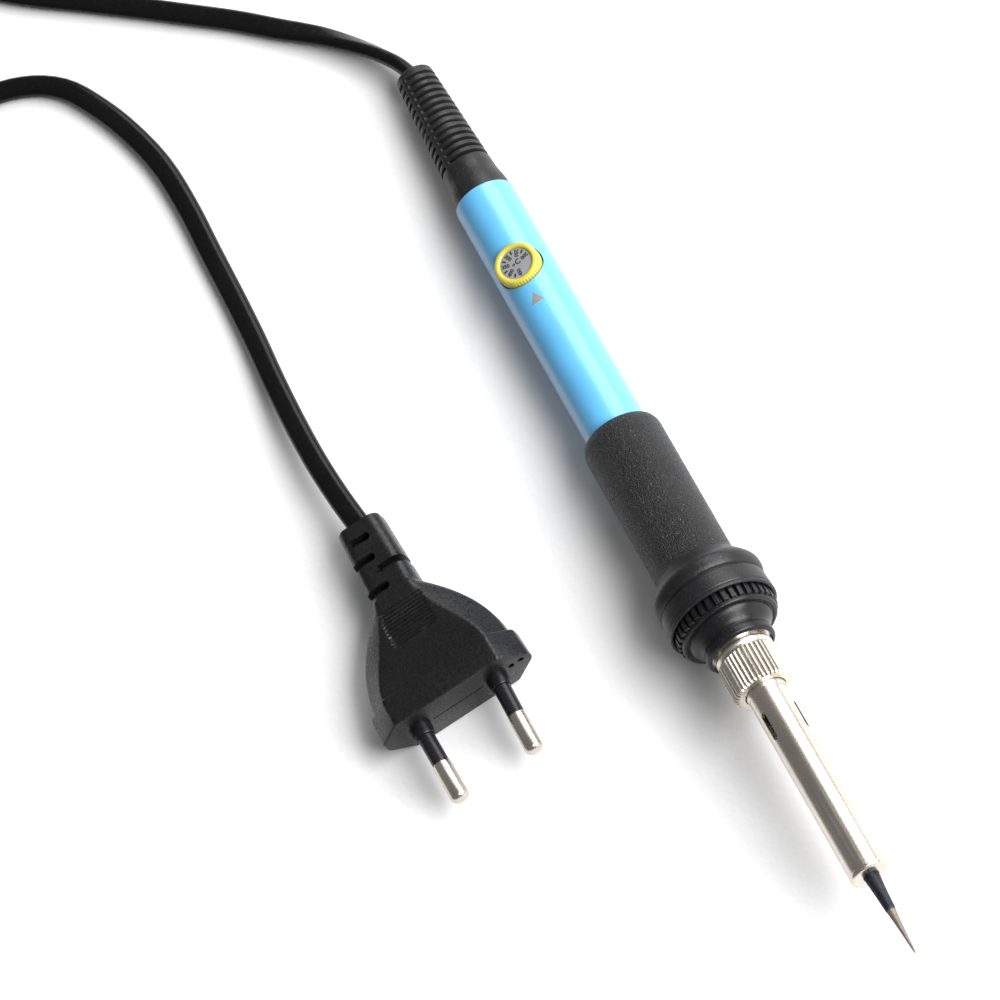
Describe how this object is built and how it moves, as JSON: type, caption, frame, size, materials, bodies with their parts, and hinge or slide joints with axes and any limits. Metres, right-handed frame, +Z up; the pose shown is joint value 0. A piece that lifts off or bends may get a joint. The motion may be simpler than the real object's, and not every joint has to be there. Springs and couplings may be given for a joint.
{
  "type": "soldering iron",
  "caption": "Pencil-type soldering iron with a temperature dial in its tubular handle, a screwed-on barrel and tip, and a flat mains lead with a two-pin plug.",
  "frame": {"origin": "on the resting surface, under the middle of the iron's own bounding box (lead and plug left out)", "axes": "+X along the iron towards the tip, +Z up through the dial, +Y to the left of someone looking along +X"},
  "size_m": [0.3525, 0.1633, 0.0242],
  "materials": {
    "handle_blue": "smooth moulded plastic with a soft gloss",
    "grip_rubber": "fine-grained matte rubber with a smoother flange",
    "collar_plastic": "satin heat-proof moulding",
    "screw_steel": "plated steel",
    "bush_nickel": "nickel-plated turned brass",
    "base_ceramic": "unglazed ceramic",
    "rod_ceramic": "unglazed ceramic",
    "lead_metal": "bright nickel wire",
    "sleeve_fabric": "woven glass sleeving",
    "board_green": "lacquered board",
    "pot_blue": "moulded case",
    "part_black": "moulded case",
    "diac_glass": "glass bead",
    "capacitor_case": "dipped case",
    "resistor_body": "lacquered body",
    "core_insulation": "soft insulation",
    "boot_rubber": "moulded soft rubber",
    "lead_sheath": "smooth soft sheath",
    "clip_nylon": "moulded nylon",
    "shaft_plastic": "moulded plastic",
    "dial_yellow": "smooth moulded plastic",
    "dial_grey": "printed plate",
    "tip_plating": "dark plated copper with a tinned point",
    "barrel_steel": "bright drawn tube",
    "nut_nickel": "nickel-plated knurled brass",
    "tie_plastic": "flat twist tie",
    "plug_plastic": "moulded soft plastic",
    "bridge_plastic": "hard moulded plastic",
    "pin_nickel": "nickel-plated brass",
    "sleeve_black": "hard insulating sleeve"
  },
  "bodies": {
    "handle": {"handle_tube": "handle_blue", "grip_sleeve": "grip_rubber", "front_collar": "collar_plastic", "collar_screws": "screw_steel", "heater_bush": "bush_nickel", "heater_base": "base_ceramic", "heater_rod": "rod_ceramic", "heater_leads": "lead_metal", "lead_sleeves": "sleeve_fabric", "circuit_board": "board_green", "potentiometer": "pot_blue", "triac": "part_black", "diac": "diac_glass", "capacitor": "capacitor_case", "resistors": "resistor_body", "supply_wires": "core_insulation", "strain_relief_boot": "boot_rubber", "lead_inside": "lead_sheath", "lead_stop_clip": "clip_nylon", "cord_boot_side": "lead_sheath", "cord_coil": "lead_sheath", "coil_tie": "tie_plastic", "cord_plug_side": "lead_sheath", "plug_body": "plug_plastic", "plug_bridge": "bridge_plastic", "plug_pin_left": "pin_nickel", "plug_pin_right": "pin_nickel", "pin_sleeve_left": "sleeve_black", "pin_sleeve_right": "sleeve_black", "lead_in_plug": "lead_sheath", "plug_cores": "core_insulation"},
    "dial": {"dial_shaft": "shaft_plastic", "dial_ring": "dial_yellow", "dial_plate": "dial_grey"},
    "tip": {"tip": "tip_plating"},
    "barrel": {"barrel": "barrel_steel"},
    "nut": {"barrel_nut": "nut_nickel"}
  },
  "joints": [
    {"name": "dial_turn", "type": "hinge", "parent": "handle", "child": "dial", "pos_m": [-0.06007, 0, 0.00772], "axis": [-0.0502, 0, 0.9987], "range_deg": [0, 260]},
    {"name": "tip_pull", "type": "slide", "parent": "handle", "child": "tip", "axis": [0.9987, 0, 0.0502], "range_m": [0, 0.07]},
    {"name": "barrel_advance", "type": "slide", "parent": "tip", "child": "barrel", "axis": [0.9987, 0, 0.0502], "range_m": [0, 0.008]},
    {"name": "nut_turn", "type": "hinge", "parent": "barrel", "child": "nut", "pos_m": [0.05119, 0, 0.01331], "axis": [0.9987, 0, 0.0502], "range_deg": [0, 2881]}
  ],
  "couplings": [
    {"joint": "nut_turn", "follows": "barrel_advance", "rad_per_m": 6283.2}
  ]
}
